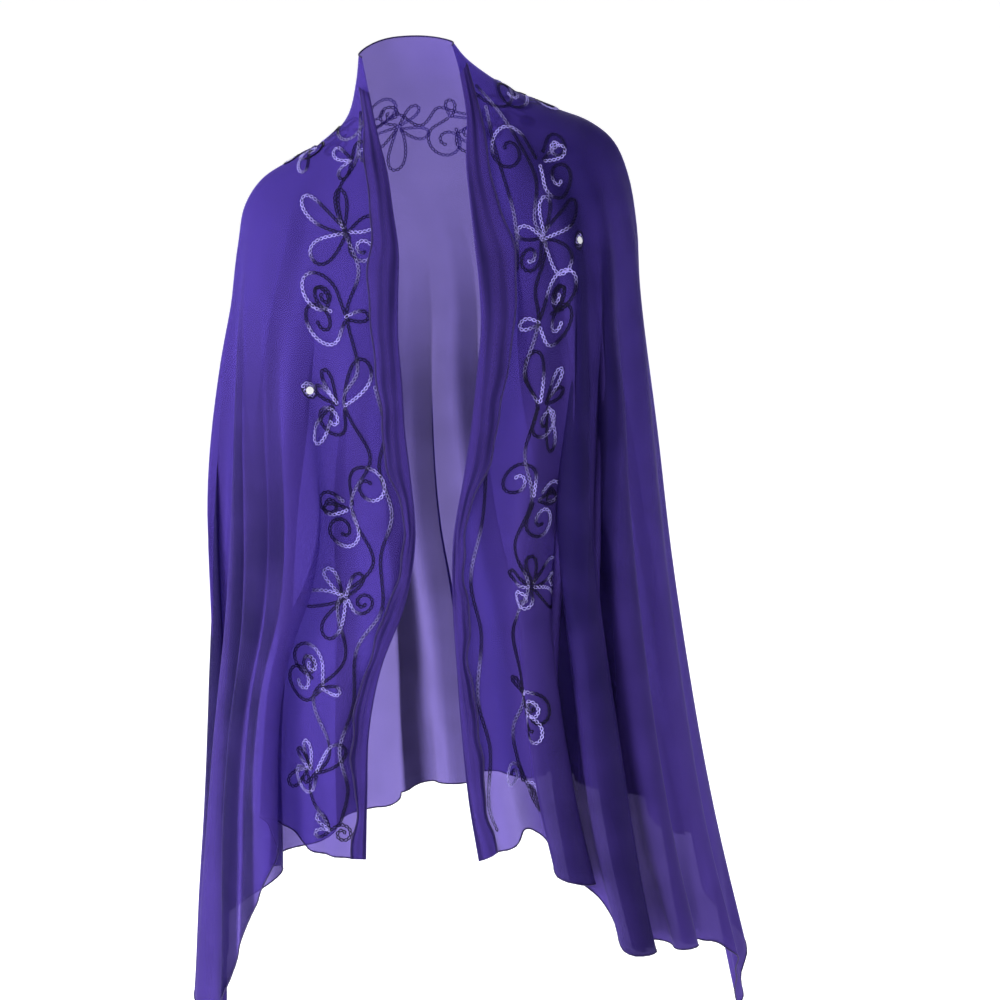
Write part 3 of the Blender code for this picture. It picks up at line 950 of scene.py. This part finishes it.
# Where the groups lie: fall, distance in from the edge in mm, kind, turn, size, and how far out
# and at which angle a little mirror is held, if one is.
borderGroups = {
    "right": (
        (0.100, 40, "bud", 14, 1.10, None),
        (0.176, 50, "petals", 0, 1.08, None),
        (0.268, 54, "curls", 0, 1.08, None),
        (0.368, 62, "leaves", 0, 1.00, (40, 4)),
        (0.500, 64, "scrolls", 0, 1.06, None),
        (0.636, 60, "petals", -34, 0.96, None),
        (0.772, 58, "curls", 12, 0.92, None),
        (0.895, 56, "leaves", 10, 0.86, None),
        (0.966, 38, "bud", 60, 0.80, None),
    ),
    "left": (
        (0.150, 88, "scrolls", -6, 1.15, None),
        (0.222, 74, "petals", -8, 1.04, (54, -24)),
        (0.296, 68, "curls", 0, 1.06, None),
        (0.386, 74, "leaves", -16, 1.00, None),
        (0.500, 82, "scrolls", 4, 1.00, None),
        (0.610, 88, "petals", 20, 0.84, (44, -14)),
        (0.775, 82, "curls", -10, 0.82, None),
        (0.925, 76, "bud", 30, 1.05, None),
    ),
}

# Round the back of the neck the border lies along the top: share of the way round, fall, and the
# same last columns.
neckGroups = (
    (0.215, 0.105, "leaves", -90, 0.95, (40, 4)),
    (0.335, 0.095, "scrolls", -90, 1.00, None),
    (0.440, 0.095, "petals", -90, 0.95, None),
    (0.550, 0.095, "curls", -90, 1.00, None),
    (0.660, 0.100, "leaves", -90, 0.95, (40, 4)),
    (0.775, 0.105, "scrolls", -90, 1.00, None),
)

# Stems: fall and distance in from the edge in mm.
stems = {
    "right": (
        ((0.050, 20), (0.098, 34), (0.135, 58), (0.172, 56), (0.215, 40), (0.262, 52), (0.315, 44),
         (0.362, 62), (0.425, 38), (0.500, 66), (0.575, 40), (0.648, 68), (0.720, 40), (0.790, 66),
         (0.855, 40), (0.915, 64), (0.968, 38)),
        ((0.330, 27), (0.385, 19), (0.440, 30), (0.500, 22), (0.565, 33), (0.640, 21), (0.700, 30),
         (0.780, 20), (0.850, 29), (0.905, 20), (0.955, 27)),
    ),
    "left": (
        ((0.050, 22), (0.100, 60), (0.160, 80), (0.200, 70), (0.232, 80), (0.262, 62), (0.296, 66),
         (0.340, 54), (0.386, 72), (0.440, 64), (0.500, 80), (0.560, 68), (0.610, 86), (0.690, 66),
         (0.775, 80), (0.850, 62), (0.925, 72)),
        ((0.070, 30), (0.120, 38), (0.180, 46), (0.235, 42)),
        ((0.440, 20), (0.520, 27), (0.600, 18), (0.680, 27), (0.770, 19), (0.850, 28), (0.930, 20),
         (0.970, 26)),
    ),
}
neckStem = (
    (0.030, 0.050), (0.110, 0.085), (0.215, 0.080), (0.275, 0.100), (0.330, 0.078), (0.385, 0.098),
    (0.435, 0.080), (0.485, 0.098), (0.535, 0.078), (0.590, 0.098), (0.640, 0.080), (0.700, 0.100),
    (0.760, 0.080), (0.860, 0.090), (0.960, 0.050),
)


def stitch(body, layer, route, phase, light=1.0):
    # chain stitch along a route of (share, fall) points
    c = chain
    line = cloth.at(route[:, 0], route[:, 1])[0]
    run = np.concatenate([[0], np.cumsum(np.linalg.norm(np.diff(line, axis=0), axis=1))])
    links = max(2, round(run[-1] / c["link"]))
    at = np.linspace(0, run[-1], links * c["pointsPerLink"] + 1)
    share = np.interp(at, run, route[:, 0])
    fall = np.interp(at, run, route[:, 1])
    middle, normal = cloth.at(share, fall, c["lift"])
    tangent = np.gradient(middle, axis=0)
    tangent /= np.linalg.norm(tangent, axis=1)[:, None]
    side = np.cross(tangent, normal)
    beat = np.abs(np.sin(np.pi * at / run[-1] * links + c["meets"]))
    dyed = c["dyeSharpness"] * np.sin(2 * np.pi * at / c["dye"] + phase) - c["dyeDark"]
    shade = np.clip(dyed, 0, 1) * light
    for way in (1, -1):
        apart = side * (way * (c["closest"] + c["halfWidth"] * beat))[:, None]
        height = normal * (c["rise"] * (1 - beat))[:, None]
        tube(body, middle + apart + height, c["strand"], c["sides"], normal, shade, layer)


def fromEdge(side, fall, inside):
    # the share that lies so many mm in from a front edge
    near, way = (0, 1) if side == "right" else (1, -1)
    return cloth.across(near, fall, inside * way / 1000)


def groupRoutes(share, fall, way, kind, turn, size):
    # the lines of one group, laid on the cloth round its place
    for piece, reach, second, angle, origin in sprays[kind]:
        line = petal(reach, second) if piece == "petal" else curl(reach, second)
        line = turned(turned(line, angle, origin), turn) * size / 1000
        yield cloth.laid(share, fall, line * (way, 1))


def mirrorDisc(body, share, fall):
    m = mirrorSize
    centre, normal = cloth.at(share, fall, m["lift"] + m["height"] / 2)
    facing = Vector(normal).to_track_quat("Z", "Y").to_matrix().to_4x4()
    bmesh.ops.create_cone(
        body, cap_ends=True, segments=m["corners"], radius1=m["radius"], radius2=m["radius"],
        depth=m["height"], matrix=Matrix.Translation(Vector(centre)) @ facing)


def mirrorRing(share, fall, radius):
    turn = np.linspace(0, 2 * np.pi, mirrorSize["ringPoints"])
    circle = np.stack([np.cos(turn), np.sin(turn)], axis=1) * radius
    return cloth.laid(share, fall, circle)


def borderPiece(name, groups, routes, discs):
    body = bmesh.new()
    layer = body.verts.layers.float.new("shade")
    phase = 0.0
    for route in routes:
        stitch(body, layer, route, phase, chain["stemLight"])
        phase += chain["stemStep"]
    for share, fall, way, kind, turn, size, held in groups:
        for route in groupRoutes(share, fall, way, kind, turn, size):
            stitch(body, layer, route, phase)
            phase += chain["lineStep"]
        if held:
            tip = turned(np.array(((held[0], 0.0),)), held[1] + turn) * size / 1000
            spot = cloth.laid(share, fall, tip * (way, 1))[0]
            for radius in mirrorSize["rings"]:
                stitch(body, layer, mirrorRing(*spot, radius), phase)
                phase += chain["ringStep"]
            mirrorDisc(discs, *spot)
    closeTubes(body)
    item = placeObject(name, body, thread)
    return item


def sideRoutes(side):
    for stem in stems[side]:
        line = smoothRoute(stem)
        yield np.stack([fromEdge(side, line[:, 0], line[:, 1]), line[:, 0]], axis=1)


print("stitching the border")
discs = bmesh.new()
for side in ("right", "left"):
    places = fromEdge(side, *np.array([row[:2] for row in borderGroups[side]]).T)
    way = 1 if side == "right" else -1
    placed = [(share, row[0], way, *row[2:]) for share, row in zip(places, borderGroups[side])]
    borderPiece(side + "Border", placed, sideRoutes(side), discs)
placed = [(row[0], row[1], 1, *row[2:]) for row in neckGroups]
borderPiece("neckBorder", placed, [smoothRoute(neckStem)], discs)

bmesh.ops.recalc_face_normals(discs, faces=discs.faces[:])
littleMirrors = placeObject("littleMirrors", discs, mirror, smooth=False)


studio = {
    "floorZ": -1.32,
    "floorReach": 60.0,
    "floorCorners": 64,
    "air": 0.28,
    "horizon": 1.0,  # the air is brighter low down, so that the floor runs out of sight
    "horizonFrom": 0.10,  # sines of the heights between which it fades
    "horizonTo": 0.28,
    "aim": (0.0591, -0.0934, -0.3856),
    "distance": 3.0,
    "elevation": 13.0,
    "azimuth": -4.0,
    "roll": 4.0,
    "lens": 102.857,
    "sight": 200,  # metres that the camera sees
    "clearLayers": 24,  # how many sheer faces a ray of light may pass
}

lamps = (
    # name, place, aim, size, watts
    ("key", (-3.1, -2.0, 1.5), (0, 0, -0.35), 1.5, 170),
    ("side", (-2.6, -0.3, -1.1), (-0.2, 0, -0.9), 1.2, 52),
    ("fill", (2.6, -1.4, -0.8), (0.2, 0, -0.7), 1.5, 24),
    ("behind", (0.6, 2.8, 1.6), (0, 0, -0.4), 2.0, 40),
)

floorLook = {
    "colour": (0.90, 0.90, 0.90),
    "dark": (0.89, 0.89, 0.89, 1),
    "light": (0.92, 0.92, 0.92, 1),
    "cloudScale": 1.5,
    "plain": {
        "Roughness": 0.9,
        "Specular IOR Level": 0.1,
        "Emission Color": (1, 1, 1, 1),
        "Emission Strength": 0.73,
    },
}


def floorFinish():
    finish = Finish("paleFloor", floorLook["colour"], floorLook["plain"])
    cloud = noise(finish, floorLook["cloudScale"], 2.0)
    finish.set("Base Color", finish.mix(cloud, floorLook["dark"], floorLook["light"]))
    return finish.material


def layFloor():
    body = bmesh.new()
    bmesh.ops.create_circle(
        body, cap_ends=True, segments=studio["floorCorners"], radius=studio["floorReach"])
    bmesh.ops.translate(body, verts=body.verts[:], vec=(0, 0, studio["floorZ"]))
    mesh = bpy.data.meshes.new("floor")
    body.to_mesh(mesh)
    body.free()
    mesh.materials.append(floorFinish())
    floor = bpy.data.objects.new("floor", mesh)
    scene.collection.objects.link(floor)


def softLight(name, place, target, size, power):
    data = bpy.data.lights.new(name, "AREA")
    data.size = size
    data.energy = power
    lamp = bpy.data.objects.new(name, data)
    lamp.location = place
    lamp.rotation_euler = (Vector(target) - Vector(place)).to_track_quat("-Z", "Y").to_euler()
    scene.collection.objects.link(lamp)


def studioAir():
    world = bpy.data.worlds.new("studioAir")
    world.use_nodes = True
    air = Nodes(world.node_tree)
    where = air.node("ShaderNodeTexCoord", output="Object")
    height = air.node("ShaderNodeSeparateXYZ", {}, {0: where}, "Z")
    glow = air.node("ShaderNodeMapRange", {}, {
        "Value": height,
        "From Min": studio["horizonFrom"],
        "From Max": studio["horizonTo"],
        "To Min": studio["horizon"],
        "To Max": studio["air"],
    })
    background = world.node_tree.nodes["Background"]
    air.feed(background.inputs["Color"], (1, 1, 1, 1))
    air.feed(background.inputs["Strength"], glow)
    return world


def hangCamera():
    # a little to the viewer's left and above, tipped so that the wrap leans as in the picture
    s = studio
    up, aside, roll = (math.radians(s[key]) for key in ("elevation", "azimuth", "roll"))
    back = Vector((math.sin(aside) * math.cos(up), -math.cos(aside) * math.cos(up), math.sin(up)))
    right = Vector((math.cos(aside), math.sin(aside), 0))
    above = right.cross(-back)
    x = right * math.cos(roll) - above * math.sin(roll)
    y = right * math.sin(roll) + above * math.cos(roll)
    data = bpy.data.cameras.new("view")
    data.lens = s["lens"]
    data.clip_end = s["sight"]
    camera = bpy.data.objects.new("view", data)
    turn = Matrix((x, y, back)).transposed().to_4x4()
    camera.matrix_world = Matrix.Translation(Vector(s["aim"]) + back * s["distance"]) @ turn
    scene.collection.objects.link(camera)
    scene.camera = camera


print("setting the studio")
layFloor()
for lamp in lamps:
    softLight(*lamp)
scene.world = studioAir()
scene.view_settings.view_transform = "Standard"
scene.cycles.transparent_max_bounces = studio["clearLayers"]
hangCamera()
